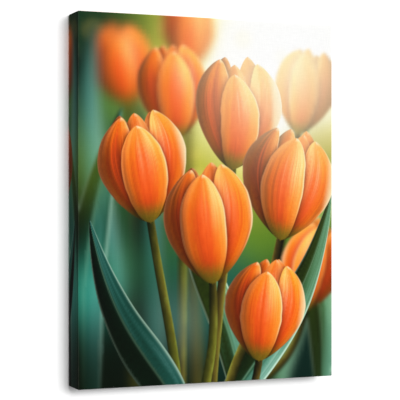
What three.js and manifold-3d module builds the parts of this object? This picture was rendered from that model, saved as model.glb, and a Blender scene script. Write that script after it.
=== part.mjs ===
// A gallery-wrapped stretched canvas print, in millimetres, +Z up.
//
// The picture faces -Y and hangs on a wall whose face is the plane y = 0. The origin is where the wall's nail
// bears under the hanger's teeth, on the print's middle line.
//
// Four mitred stretcher bars carry one sheet of canvas, which is wrapped round their sides and stapled to their
// backs. Each corner is a tongue-and-slot joint that two wooden keys spread.

import * as THREE from 'three';
import * as BufferGeometryUtils from 'three/addons/utils/BufferGeometryUtils.js';
import Module from 'manifold-3d';

const wasm = await Module();
wasm.setup();

// ---- Driving dimensions ----

const WIDTH = 305; // 12 inches across
const HEIGHT = 406; // 16 inches up, over the folds at the top and bottom
const DEPTH = 35; // from the picture to the canvas on the back
const GAP = 0.3; // kept between pieces that touch
const HANG_DROP = 34; // the nail's bearing point, below the top edge

// Canvas
const CLOTH = 0.5;
const RETURN_WIDTH = 22; // canvas turned on to the back
const FOLD_RADIUS = 1; // outside radius where the canvas turns an edge
const FOLD_RISE = 0.6; // how far the tucked layers at a corner stand out

// Stretcher bars
const BAR_WIDTH = 38;
const RIM_WIDTH = 5; // the raised rim that carries the canvas
const BEVEL_DROP = 4; // from the rim down to the start of the slope
const SLOPE_DROP = 7; // from the rim down to the inner edge
const INNER_CHAMFER = 1.2;

// Corner joints
const TONGUE = 6; // thickness of a tongue, and of a key
const TONGUE_DEPTH = 12; // from the rim to the level bars' tongues
const TONGUE_SETBACK = 1.5; // a tongue's end and side, inside the frame's outer face

// Keys
const KEY_OUT = 13; // how far a key stands into the opening
const KEY_TIP_INSET = 7; // its tip, from the bar's outer face
const KEY_TIP = 2.4; // width at the tip
const KEY_SLOPE = 0.17; // gain in width for each millimetre of length

// Staples
const STAPLE_CROWN = 11;
const STAPLE_LEG = 8;
const WIRE_WIDTH = 1.25;
const WIRE_THICKNESS = 0.6;
const STAPLE_INSET = 13; // from the outer edge
const LONG_SIDE_STAPLES = 9;
const LONG_SIDE_MARGIN = 40; // from a corner to the first staple of a side
const SHORT_SIDE_STAPLES = 5;
const SHORT_SIDE_MARGIN = 57; // past the folded layers
const FOLD_STAPLE_INSET = 31; // the staple through the folded layers, from the corner

// Hanger
const HANGER_LENGTH = 45;
const HANGER_HEIGHT = 9;
const HANGER_SHEET = 0.8;
const HANGER_BOW = 1.2; // how far its middle stands off the wood
const HANGER_FLAT = 7; // length of each flat end
const HANGER_RAMP = 2.5; // length of each slope up to the raised middle
const TOOTH_PITCH = 2.5;
const TOOTH_DEPTH = 1.6;
const TOOTH_COUNT = 9;
const NAIL_LENGTH = 12;
const NAIL_RADIUS = 0.75;
const NAIL_HEAD_RADIUS = 1.8;
const NAIL_HEAD_HEIGHT = 0.7;

// Felt pads
const PAD_THICKNESS = 3;
const PAD_RADIUS = 6;
const PAD_SIDE_INSET = 52; // centre, from the side of the print
const PAD_RISE = 30; // centre, above the bottom edge

// ---- Planes and extents that follow from them ----

const barBack = -PAD_THICKNESS - GAP;
const canvasBack = barBack + GAP + CLOTH;
const canvasFront = canvasBack - DEPTH;
const barFront = canvasFront + CLOTH + GAP;
const barDepth = barBack - barFront;
const plateBack = barBack + GAP; // what is nailed or glued to a bar's back starts here

const centreZ = HANG_DROP - HEIGHT / 2;
const sheetHeight = HEIGHT - 2 * FOLD_RISE; // the canvas itself, without the folds
const barInset = CLOTH + GAP; // from the canvas's outer face to the bars
const frameWidth = WIDTH - 2 * barInset;
const frameHeight = sheetHeight - 2 * barInset;

// The front of the tongues, back from the rim: the upright bars' lie just behind the level bars'.
const levelTongue = TONGUE_DEPTH;
const uprightTongue = TONGUE_DEPTH + TONGUE + GAP;

const corners = [
  { name: 'top_left', sideX: -1, sideZ: 1 },
  { name: 'top_right', sideX: 1, sideZ: 1 },
  { name: 'bottom_left', sideX: -1, sideZ: -1 },
  { name: 'bottom_right', sideX: 1, sideZ: -1 },
];

// ---- Materials ----

const canvasMaterial = new THREE.MeshStandardMaterial({ color: 0xd98a4a, roughness: 0.75, metalness: 0 });
const pineMaterial = new THREE.MeshStandardMaterial({ color: 0xe2c08c, roughness: 0.7, metalness: 0 });
const beechMaterial = new THREE.MeshStandardMaterial({ color: 0xcfa274, roughness: 0.6, metalness: 0 });
const stapleMaterial = new THREE.MeshStandardMaterial({ color: 0xb9bbbd, roughness: 0.35, metalness: 1 });
const brassMaterial = new THREE.MeshStandardMaterial({ color: 0xc9a85e, roughness: 0.4, metalness: 1 });
const feltMaterial = new THREE.MeshStandardMaterial({ color: 0x6b6762, roughness: 0.95, metalness: 0 });

// ---- Solids ----

function toSolid(geometry) {
  const bare = geometry.clone();
  bare.deleteAttribute('normal');
  bare.deleteAttribute('uv');
  const merged = BufferGeometryUtils.mergeVertices(bare, 1e-4);
  const vertProperties = new Float32Array(merged.attributes.position.array);
  const triVerts = new Uint32Array(merged.index.array);
  return new wasm.Manifold(new wasm.Mesh({ numProp: 3, vertProperties, triVerts }));
}

function toGeometry(solid) {
  const mesh = solid.getMesh();
  const geometry = new THREE.BufferGeometry();
  geometry.setAttribute('position', new THREE.BufferAttribute(mesh.vertProperties, 3));
  geometry.setIndex(new THREE.BufferAttribute(mesh.triVerts, 1));
  return geometry;
}

// A box from its lowest to its highest corner.
function box(low, high) {
  const geometry = new THREE.BoxGeometry(...high.map((value, i) => value - low[i]));
  geometry.translate(...high.map((value, i) => (value + low[i]) / 2));
  return toSolid(geometry);
}

// A prism along +y from front, whose outline is given as [x, z] points.
function plate(points, front, thickness) {
  const shape = new THREE.Shape(points.map(([x, z]) => new THREE.Vector2(x, -z)));
  const geometry = new THREE.ExtrudeGeometry(shape, { depth: thickness, bevelEnabled: false });
  geometry.rotateX(-Math.PI / 2);
  geometry.translate(0, front, 0);
  return toSolid(geometry);
}

// A prism along +z, centred on z = 0, whose outline is given as [x, y] points.
function rail(points, length) {
  const shape = new THREE.Shape(points.map(([x, y]) => new THREE.Vector2(x, y)));
  const geometry = new THREE.ExtrudeGeometry(shape, { depth: length, bevelEnabled: false });
  geometry.translate(0, 0, -length / 2);
  return toSolid(geometry);
}

// A round bar along y, between two y values.
function roundBar(radius, x, z, front, back, sides) {
  const geometry = new THREE.CylinderGeometry(radius, radius, back - front, sides);
  geometry.translate(x, (front + back) / 2, z);
  return toSolid(geometry);
}

// ---- Canvas ----

// The block that the canvas's outer face bounds, with its long edges rounded, drawn in by inset all round.
function wrappedBlock(inset) {
  const fold = FOLD_RADIUS - inset;
  const x = WIDTH / 2 - FOLD_RADIUS;
  const z = sheetHeight / 2 - FOLD_RADIUS;
  const outline = [[-x, -z], [x, -z], [x, z], [-x, z]];
  const geometry = new THREE.ExtrudeGeometry(new THREE.Shape(outline.map((p) => new THREE.Vector2(...p))), {
    depth: DEPTH - 2 * FOLD_RADIUS, bevelThickness: fold, bevelSize: fold, bevelSegments: 3,
  });
  geometry.rotateX(Math.PI / 2);
  geometry.translate(0, canvasBack - FOLD_RADIUS, centreZ);
  return toSolid(geometry);
}

// The tucked layers at a corner: a triangle on the top or bottom side that widens towards the back, and the
// band between two creases that it turns into on the back. Drawn for the corner at the origin, with x inwards
// along the side, y back from the picture and z out of the side.
function cornerFold({ sideX, sideZ }) {
  const root = CLOTH / 2; // how deep the layers start in the canvas
  const out = DEPTH + FOLD_RISE;
  const side = rail([[FOLD_RADIUS, FOLD_RADIUS], [out, out], [FOLD_RADIUS, out]], FOLD_RISE + root);
  const back = [
    [FOLD_RADIUS, -FOLD_RISE], [out, -FOLD_RISE], [DEPTH + RETURN_WIDTH, RETURN_WIDTH],
    [RETURN_WIDTH, RETURN_WIDTH],
  ];
  const band = plate(back.map(([x, z]) => [x, -z]), DEPTH - root, FOLD_RISE + root);
  const fold = side.translate([0, 0, (FOLD_RISE - root) / 2]).add(band);
  const place = new THREE.Matrix4().makeScale(-sideX, 1, sideZ);
  place.setPosition(sideX * WIDTH / 2, canvasFront, centreZ + sideZ * sheetHeight / 2);
  return fold.transform(place.elements);
}

function makeCanvas() {
  const x = WIDTH / 2 - RETURN_WIDTH;
  const z = sheetHeight / 2 - RETURN_WIDTH;
  const window = box([-x, canvasBack - 2 * CLOTH, centreZ - z], [x, 0, centreZ + z]);
  const sheet = wrappedBlock(0).subtract(wrappedBlock(CLOTH)).subtract(window);
  return wasm.Manifold.union([sheet, ...corners.map(cornerFold)]);
}

// ---- Stretcher bars ----

// A bar is drawn with x inwards from the frame's outer face, y back from the rim's front and z along the bar,
// centred. placeBar takes it to its place: side is 1 for the top or right bar, -1 for the bottom or left one.
function placeBar(solid, level, side) {
  const inward = level ? new THREE.Vector3(0, 0, -side) : new THREE.Vector3(-side, 0, 0);
  const back = new THREE.Vector3(0, 1, 0);
  const along = new THREE.Vector3().crossVectors(inward, back);
  const place = new THREE.Matrix4().makeBasis(inward, back, along);
  const reach = (level ? frameHeight : frameWidth) / 2;
  place.setPosition(-inward.x * reach, barFront, centreZ - inward.z * reach);
  return solid.transform(place.elements);
}

// How wide the key is at a distance in from the bar's outer face.
function keyWidth(inward) {
  return KEY_TIP + KEY_SLOPE * (inward - KEY_TIP_INSET);
}

function makeBar(level, side) {
  const half = (level ? frameWidth : frameHeight) / 2;
  const over = 1; // how far cutting shapes run past the bar
  const section = [
    [0, 0], [RIM_WIDTH, 0], [RIM_WIDTH + BEVEL_DROP, BEVEL_DROP], [BAR_WIDTH, SLOPE_DROP],
    [BAR_WIDTH, barDepth - INNER_CHAMFER], [BAR_WIDTH - INNER_CHAMFER, barDepth], [0, barDepth],
  ];

  // The mitres, each drawn back from the joint by half the gap.
  const outer = half + over - GAP / Math.SQRT2;
  const inner = outer - BAR_WIDTH - 2 * over;
  const mitred = [[-over, -outer], [BAR_WIDTH + over, -inner], [BAR_WIDTH + over, inner], [-over, outer]];
  let bar = rail(section, 2 * half).intersect(plate(mitred, -over, barDepth + 2 * over));

  const ownTongue = level ? levelTongue : uprightTongue;
  const nextTongue = level ? uprightTongue : levelTongue;
  for (const end of [-1, 1]) {
    // The slot holds the next bar's tongue and, between that and the slot's slanted end, its key.
    const slotEnd = (inward) => end * (half - BAR_WIDTH - keyWidth(inward) - 2 * GAP);
    const outside = end * (half + over);
    const slot = [
      [-over, outside], [-over, slotEnd(-over)], [BAR_WIDTH + over, slotEnd(BAR_WIDTH + over)],
      [BAR_WIDTH + over, outside],
    ];
    bar = bar.subtract(plate(slot, nextTongue - GAP, TONGUE + 2 * GAP));
    const root = end * (half - BAR_WIDTH - over);
    const tip = end * (half - TONGUE_SETBACK);
    const low = [TONGUE_SETBACK, ownTongue, Math.min(root, tip)];
    const high = [BAR_WIDTH, ownTongue + TONGUE, Math.max(root, tip)];
    bar = bar.add(box(low, high));
  }
  return placeBar(bar, level, side).intersect(wrappedBlock(barInset));
}

// ---- Keys ----

// A key lies in one bar's slot against the side of the next bar's tongue, with its tip outwards.
function makeKey(level, side, end) {
  const half = (level ? frameWidth : frameHeight) / 2;
  const straight = end * (half - BAR_WIDTH - GAP);
  const slanted = (inward) => straight - end * keyWidth(inward);
  const butt = BAR_WIDTH + KEY_OUT;
  const points = [
    [KEY_TIP_INSET, straight], [butt, straight], [butt, slanted(butt)], [KEY_TIP_INSET, slanted(KEY_TIP_INSET)],
  ];
  const key = plate(points, level ? uprightTongue : levelTongue, TONGUE);
  return placeBar(key, level, side);
}

// ---- Staples ----

// A row of staples along one side's turned-in canvas.
function stapleRow(name, count, margin, level, side) {
  const length = level ? WIDTH : HEIGHT;
  const across = side * ((level ? HEIGHT : WIDTH) / 2 - STAPLE_INSET);
  return Array.from({ length: count }, (_, i) => {
    const along = -length / 2 + margin + i * (length - 2 * margin) / (count - 1);
    return {
      name: `staple_${name}_${i + 1}`,
      x: level ? along : across,
      z: centreZ + (level ? across : along),
      angle: level ? 0 : Math.PI / 2,
      lift: 0,
    };
  });
}

// Each corner has one staple across its crease and one through the folded layers beside it.
function cornerStaples({ name, sideX, sideZ }) {
  const z = centreZ + sideZ * (HEIGHT / 2 - STAPLE_INSET);
  return [
    {
      name: `staple_crease_${name}`, x: sideX * (WIDTH / 2 - STAPLE_INSET), z, lift: FOLD_RISE,
      angle: -sideX * sideZ * Math.PI / 4,
    },
    { name: `staple_fold_${name}`, x: sideX * (WIDTH / 2 - FOLD_STAPLE_INSET), z, lift: FOLD_RISE, angle: 0 },
  ];
}

const staples = [
  ...stapleRow('top', SHORT_SIDE_STAPLES, SHORT_SIDE_MARGIN, true, 1),
  ...stapleRow('bottom', SHORT_SIDE_STAPLES, SHORT_SIDE_MARGIN, true, -1),
  ...stapleRow('left', LONG_SIDE_STAPLES, LONG_SIDE_MARGIN, false, -1),
  ...stapleRow('right', LONG_SIDE_STAPLES, LONG_SIDE_MARGIN, false, 1),
  ...corners.flatMap(cornerStaples),
];

// Takes what is drawn round a staple, with its crown along x and its legs along -y, to the staple's place.
function placeStaple(solid, staple) {
  const place = new THREE.Matrix4().makeRotationY(-staple.angle);
  place.setPosition(staple.x, canvasBack + GAP + staple.lift, staple.z);
  return solid.transform(place.elements);
}

function makeStaple(staple) {
  const wire = WIRE_THICKNESS;
  const out = STAPLE_CROWN / 2;
  const bend = wire * (1 - Math.SQRT1_2); // a three-sided shoulder
  const right = [
    [out - wire, wire], [out - bend, wire - bend], [out, 0], [out, wire - STAPLE_LEG], [out - wire, -STAPLE_LEG],
    [out - wire, 0],
  ];
  const left = right.map(([x, y]) => [-x, y]).reverse();
  return placeStaple(rail([...right, ...left], WIRE_WIDTH), staple);
}

// The holes that a staple's legs make in the canvas and the wood.
function stapleHoles(staple) {
  const near = STAPLE_CROWN / 2 - WIRE_THICKNESS - GAP;
  const far = STAPLE_CROWN / 2 + GAP;
  const wide = WIRE_WIDTH / 2 + GAP;
  const deep = -STAPLE_LEG - GAP;
  const holes = box([near, deep, -wide], [far, WIRE_THICKNESS, wide])
    .add(box([-far, deep, -wide], [-near, WIRE_THICKNESS, wide]));
  return placeStaple(holes, staple);
}

// ---- Hanger ----

const hangerLow = -TOOTH_DEPTH; // the wall's nail bears at the top of a notch, z = 0
const hangerNailX = (HANGER_LENGTH - HANGER_FLAT) / 2;
const hangerNailZ = hangerLow + HANGER_HEIGHT / 2;
const hangerNailSeat = plateBack + HANGER_SHEET + GAP; // the underside of a nail's head

function hangerNailHole(side) {
  const tip = hangerNailSeat - NAIL_LENGTH - GAP;
  return roundBar(NAIL_RADIUS + GAP, side * hangerNailX, hangerNailZ, tip, 0, 16);
}

function makeHanger() {
  const end = HANGER_LENGTH / 2;
  const foot = end - HANGER_FLAT;
  const top = foot - HANGER_RAMP;
  const under = [[-end, 0], [-foot, 0], [-top, HANGER_BOW], [top, HANGER_BOW], [foot, 0], [end, 0]];
  const over = under.map(([x, y]) => [x, y + HANGER_SHEET]).reverse();
  let hanger = rail([...under, ...over], HANGER_HEIGHT);
  hanger = hanger.translate([0, plateBack, hangerLow + HANGER_HEIGHT / 2]);
  for (let i = 0; i < TOOTH_COUNT; i += 1) {
    const x = (i - (TOOTH_COUNT - 1) / 2) * TOOTH_PITCH;
    const half = TOOTH_PITCH / 2;
    const notch = [[x - half, hangerLow - GAP], [x + half, hangerLow - GAP], [x + half * 0.9, hangerLow], [x, 0],
      [x - half * 0.9, hangerLow]];
    hanger = hanger.subtract(plate(notch, barBack, -barBack));
  }
  return hanger.subtract(hangerNailHole(-1)).subtract(hangerNailHole(1));
}

function makeHangerNail(side) {
  const profile = [
    [0, -NAIL_LENGTH], [NAIL_RADIUS, 2 * NAIL_RADIUS - NAIL_LENGTH], [NAIL_RADIUS, 0], [NAIL_HEAD_RADIUS, 0],
    [NAIL_HEAD_RADIUS, 0.4 * NAIL_HEAD_HEIGHT], [0.6 * NAIL_HEAD_RADIUS, NAIL_HEAD_HEIGHT], [0, NAIL_HEAD_HEIGHT],
  ];
  const geometry = new THREE.LatheGeometry(profile.map(([r, y]) => new THREE.Vector2(r, y)), 16);
  geometry.translate(side * hangerNailX, hangerNailSeat, hangerNailZ);
  return toSolid(geometry);
}

// ---- Felt pads ----

function makePad(side) {
  const z = centreZ - HEIGHT / 2 + PAD_RISE;
  return roundBar(PAD_RADIUS, side * (WIDTH / 2 - PAD_SIDE_INSET), z, plateBack, 0, 32);
}

// ---- The print ----

const print = new THREE.Group();

function addPiece(name, solid, material) {
  const mesh = new THREE.Mesh(toGeometry(solid), material);
  mesh.name = name;
  print.add(mesh);
}

const holes = wasm.Manifold.union([...staples.map(stapleHoles), hangerNailHole(-1), hangerNailHole(1)]);

addPiece('canvas', makeCanvas().subtract(holes), canvasMaterial);
addPiece('bar_top', makeBar(true, 1).subtract(holes), pineMaterial);
addPiece('bar_bottom', makeBar(true, -1).subtract(holes), pineMaterial);
addPiece('bar_left', makeBar(false, -1).subtract(holes), pineMaterial);
addPiece('bar_right', makeBar(false, 1).subtract(holes), pineMaterial);

for (const { name, sideX, sideZ } of corners) {
  addPiece(`key_upright_${name}`, makeKey(true, sideZ, sideX * sideZ), beechMaterial);
  addPiece(`key_level_${name}`, makeKey(false, sideX, -sideX * sideZ), beechMaterial);
}

for (const staple of staples) addPiece(staple.name, makeStaple(staple), stapleMaterial);

addPiece('hanger', makeHanger(), brassMaterial);
for (const [name, side] of [['left', -1], ['right', 1]]) {
  addPiece(`hanger_nail_${name}`, makeHangerNail(side), brassMaterial);
  addPiece(`bumper_${name}`, makePad(side), feltMaterial);
}

export default print;
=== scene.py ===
"""The looks of a gallery-wrapped stretched canvas print, in metres, +Z up.

The picture faces -Y, and the print hangs on a wall whose face is the plane y = 0. The picture is painted
here as a grid of colours, worked out from shapes and seeded noise, and is laid on the cloth's mesh as a
colour attribute.
"""

import math
from collections import namedtuple

import bpy
import numpy as np
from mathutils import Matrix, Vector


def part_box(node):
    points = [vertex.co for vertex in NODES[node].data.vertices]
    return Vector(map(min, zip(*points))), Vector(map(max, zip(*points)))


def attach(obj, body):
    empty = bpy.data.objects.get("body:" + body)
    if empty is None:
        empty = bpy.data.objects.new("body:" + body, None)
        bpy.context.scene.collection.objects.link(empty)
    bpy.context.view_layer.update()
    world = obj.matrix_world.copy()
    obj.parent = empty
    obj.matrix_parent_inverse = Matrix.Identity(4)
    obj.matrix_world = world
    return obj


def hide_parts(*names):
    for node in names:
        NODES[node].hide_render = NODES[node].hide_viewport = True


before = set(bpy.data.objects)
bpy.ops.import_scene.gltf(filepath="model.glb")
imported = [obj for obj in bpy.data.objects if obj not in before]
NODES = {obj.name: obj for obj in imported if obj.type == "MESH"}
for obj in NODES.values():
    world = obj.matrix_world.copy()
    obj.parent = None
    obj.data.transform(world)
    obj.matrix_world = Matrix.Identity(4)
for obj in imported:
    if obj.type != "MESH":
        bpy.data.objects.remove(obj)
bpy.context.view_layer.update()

# ---- Driving dimensions ----

CAD_LOW, CAD_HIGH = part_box("canvas")
WIDTH = CAD_HIGH.x - CAD_LOW.x
HEIGHT = CAD_HIGH.z - CAD_LOW.z
CENTRE_Z = (CAD_LOW.z + CAD_HIGH.z) / 2
FOLD_RISE = 0.0006  # how far the tucked layers at a corner stand out
SHEET_HEIGHT = HEIGHT - 2 * FOLD_RISE
DEPTH = CAD_HIGH.y - CAD_LOW.y - FOLD_RISE
CLOTH = 0.0005  # its thickness
FOLD_RADIUS = 0.001
RETURN_WIDTH = 0.022  # of the cloth that is turned in on the back
BLEED = 0.007  # how far the ink runs on to the back
CELL = 0.0006  # the cloth's finest cell, and the picture's

# ---- Colour and noise ----


def tone(code):
    """A display colour such as 0xE07A30 as linear light."""
    rgb = np.array([code >> 16 & 255, code >> 8 & 255, code & 255]) / 255
    return np.where(rgb < 0.04045, rgb / 12.92, ((rgb + 0.055) / 1.055) ** 2.4)


def unit(value):
    """A value held from 0 to 1."""
    return np.clip(value, 0, 1)


def smooth(low, high, value):
    """0 up to low, 1 from high on, and a soft step between."""
    t = unit((value - low) / (high - low))
    return t * t * (3 - 2 * t)


def bell(value, width):
    """1 at 0, and soon nothing past width."""
    return np.exp(-((value / width) ** 2))


def mix(a, b, share):
    """Colours from a to b."""
    return a + (b - a) * np.asarray(share)[..., None]


def lattice(i, j, seed):
    """A value from 0 to 1 for each whole i and j, with no pattern in it."""
    value = np.sin(i * 127.1 + j * 311.7 + seed * 74.7) * 43758.5453
    return value - np.floor(value)


def noise(x, y, seed):
    """Smooth noise from 0 to 1 with one lump to each unit."""
    i, j = np.floor(x), np.floor(y)
    u, v = smooth(0, 1, x - i), smooth(0, 1, y - j)
    low = lattice(i, j, seed) * (1 - u) + lattice(i + 1, j, seed) * u
    high = lattice(i, j + 1, seed) * (1 - u) + lattice(i + 1, j + 1, seed) * u
    return low * (1 - v) + high * v


def ripple(x, y, seed):
    """The same noise about 0."""
    return noise(x, y, seed) - 0.5


# ---- The picture: tulips against a garden far out of focus ----
# It is one unit wide, with x across and y up from its lower left corner.

PIXELS_ACROSS, PIXELS_UP = round(WIDTH / CELL), round(HEIGHT / CELL)
PIXEL = 1 / PIXELS_ACROSS
X, Y = np.meshgrid((np.arange(PIXELS_ACROSS) + 0.5) * PIXEL, (np.arange(PIXELS_UP) + 0.5) * PIXEL)

SUN = (0.82, 1.20)  # where the light comes from, in the picture
SHADE = tone(0x0B1E06)  # its lower left corner
GARDEN = [  # by the distance from the sun
    (0.0, 0xFFFFFC), (0.22, 0xFFFDF0), (0.34, 0xFAF0B8), (0.48, 0xC9C458),
    (0.64, 0x7C9A38), (0.82, 0x3C6C38), (1.02, 0x1B4838), (1.3, 0x0A1F1A),
]
BUSHES = [  # far out of focus: x, y, radius, colour and strength
    (0.02, 1.26, 0.26, 0x12382C, 0.92), (0.10, 0.85, 0.20, 0x1D5450, 0.8), (0.00, 0.50, 0.24, 0x0C2A22, 0.9),
    (0.30, 0.62, 0.16, 0x20503A, 0.7), (0.95, 0.85, 0.16, 0x8E8A2C, 0.7), (1.00, 0.45, 0.22, 0x24502A, 0.8),
    (0.50, 0.35, 0.18, 0x2C6E68, 0.75), (0.20, 0.15, 0.25, 0x081A16, 0.9), (0.80, 0.10, 0.25, 0x10302A, 0.85),
    (0.72, 0.62, 0.13, 0x5C7A2C, 0.6), (0.38, 0.95, 0.13, 0x8DA044, 0.5), (0.15, 1.05, 0.10, 0x5E8A48, 0.5),
    (0.52, 0.80, 0.10, 0x9FA23C, 0.5),
]
GLINTS = 34  # round spots of sunlight among them
GLOWS = [  # soft lights in the haze: x, y, radius, colour and strength
    (0.00, 0.32, 0.13, 0x48B8A4, 0.55), (0.02, 0.80, 0.16, 0x7E9A3C, 0.4), (0.16, 0.42, 0.12, 0x4E9068, 0.35),
    (0.36, 0.22, 0.12, 0x7FA8A0, 0.35), (0.98, 0.62, 0.10, 0x8E9A34, 0.3),
]
GLARE = (*SUN, math.sqrt(0.10), 0xFFF0D2, 0.65)  # the sun's own, over the flowers too

# A petal's colours, the lights on it and the way each comes from, and the sun through it and on its edge.
SKIN, FLAME, GOLD, FOOT = tone(0xF08426), tone(0xE24A2C), tone(0xFFB066), tone(0xA9A23A)
KEY_LIGHT, KEY_FROM = np.array([1.22, 1.10, 1.00]), (0.52, 0.50, 0.69)
SKY_LIGHT, SKY_FROM = np.array([0.34, 0.34, 0.50]), (-0.60, 0.45, 0.66)
BOUNCE_LIGHT, BOUNCE_FROM = np.array([0.20, 0.26, 0.10]), (0.15, -0.85, 0.35)
SHINE, SHINE_FROM = np.array([1.0, 0.93, 0.86]), (0.28, 0.30, 0.91)
THROUGH, EDGE_LIGHT = np.array([0.62, 0.20, 0.03]), tone(0xFFE6C4)
HEAD_HALF, HEAD_MIDDLE, HEAD_TALL = 0.41, 0.44, 0.60  # the round form of a tulip's head, in head heights

STEM_THICK = 0.034
STEM_GREENED = 0.5  # how far green covers a stem's own tones
STEM_TONES = [(0.0, 0x170A0B), (0.35, 0x4A2320), (0.6, 0x7C5A34), (0.8, 0xA9A35C), (1.0, 0xF0E6C0)]
LEAF_TONES = [
    (0.0, 0x020A05), (0.25, 0x0C2B1C), (0.5, 0x2C645A), (0.72, 0x679A94), (0.9, 0xB2D0CA), (1.0, 0xECF5F0),
]
STEM_GREEN, LIME, RIB, LEAF_RIM = tone(0x7FA032), tone(0xB9CE2E), tone(0xA8D0B0), tone(0xD8F0DC)

# A petal's half width, how far its middle bows to the side, where its tip points, its length, and the way
# it faces.
Form = namedtuple("Form", "wide bow tip long facing")


def toned(lit, tones):
    """A colour for each brightness from 0 to 1, through a list of tones."""
    places = [place for place, _ in tones]
    colours = np.array([tone(code) for _, code in tones])
    return np.stack([np.interp(lit, places, colours[:, k]) for k in range(3)], -1)


class Layer:
    """One depth of the picture: colours times their alpha, and alpha.

    side is 1 where the light comes from the right, and -1 from the left. size is that of the head being
    painted.
    """

    def __init__(self):
        self.pixels = np.zeros(X.shape + (4,))
        self.side = 1
        self.size = 1.0

    def lay(self, where, colour, inside):
        """Paints a colour where inside, the distance in from an outline, is above 0."""
        alpha = smooth(-0.7 * PIXEL, 0.7 * PIXEL, inside)[..., None]
        part = self.pixels[where]
        part[..., :3] = part[..., :3] * (1 - alpha) + colour * alpha
        part[..., 3:] = part[..., 3:] * (1 - alpha) + alpha

    def over(self, image, radius=0):
        """An image with the layer on it, which is out of focus by a radius."""
        pixels = blurred(self.pixels, radius) if radius else self.pixels
        return image * (1 - pixels[..., 3:]) + pixels[..., :3]


def window(low, high):
    """The part of the picture between a lower left and an upper right corner."""
    spans = []
    for first, last, count in zip(low, high, (PIXELS_ACROSS, PIXELS_UP)):
        spans.append(slice(max(int(first / PIXEL), 0), max(min(int(last / PIXEL) + 1, count), 0)))
    return spans[1], spans[0]


def blurred(pixels, radius):
    """Pixels out of focus: three box blurs, which make a soft round spot."""
    size = max(int(radius / PIXEL), 1)
    for _ in range(3):
        for axis in (0, 1):
            pad = [(0, 0)] * pixels.ndim
            pad[axis] = (size + 1, size)
            total = np.cumsum(np.pad(pixels, pad, mode="edge"), axis=axis)
            n = pixels.shape[axis]
            ahead = np.take(total, np.arange(2 * size + 1, 2 * size + 1 + n), axis=axis)
            behind = np.take(total, np.arange(0, n), axis=axis)
            pixels = (ahead - behind) / (2 * size + 1)
    return pixels


def screened(image, x, y, radius, code, strength):
    """An image with a soft round light on it."""
    light = strength * bell(np.hypot(X - x, Y - y), radius)[..., None] * tone(code)
    return 1 - (1 - unit(image)) * (1 - light)


def petal_width(t):
    """A petal's half width along its length, as a share of its widest."""
    return 1.16 * t**0.47 * np.clip(1 - t**2.5, 0, None) ** 0.70


def petal_middle(t, form):
    """How far a petal's middle line lies to the side."""
    return 4 * form.bow * t * (1 - t) + form.tip * t**1.5


def petal_shadow(a, b, form, spread):
    """How dark a petal makes what lies just beside it."""
    t = np.clip(b / form.long, 1e-4, 1)
    out = np.abs(a - petal_middle(t, form)) - form.wide * petal_width(t)
    out = np.maximum(out, (b - form.long) * 1.2)
    return np.exp(-np.clip(out, 0, None) / spread)


def shone(normal, source, power=1):
    """How brightly a surface is lit from one way."""
    return unit(normal @ np.array(source))[..., None] ** power


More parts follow.
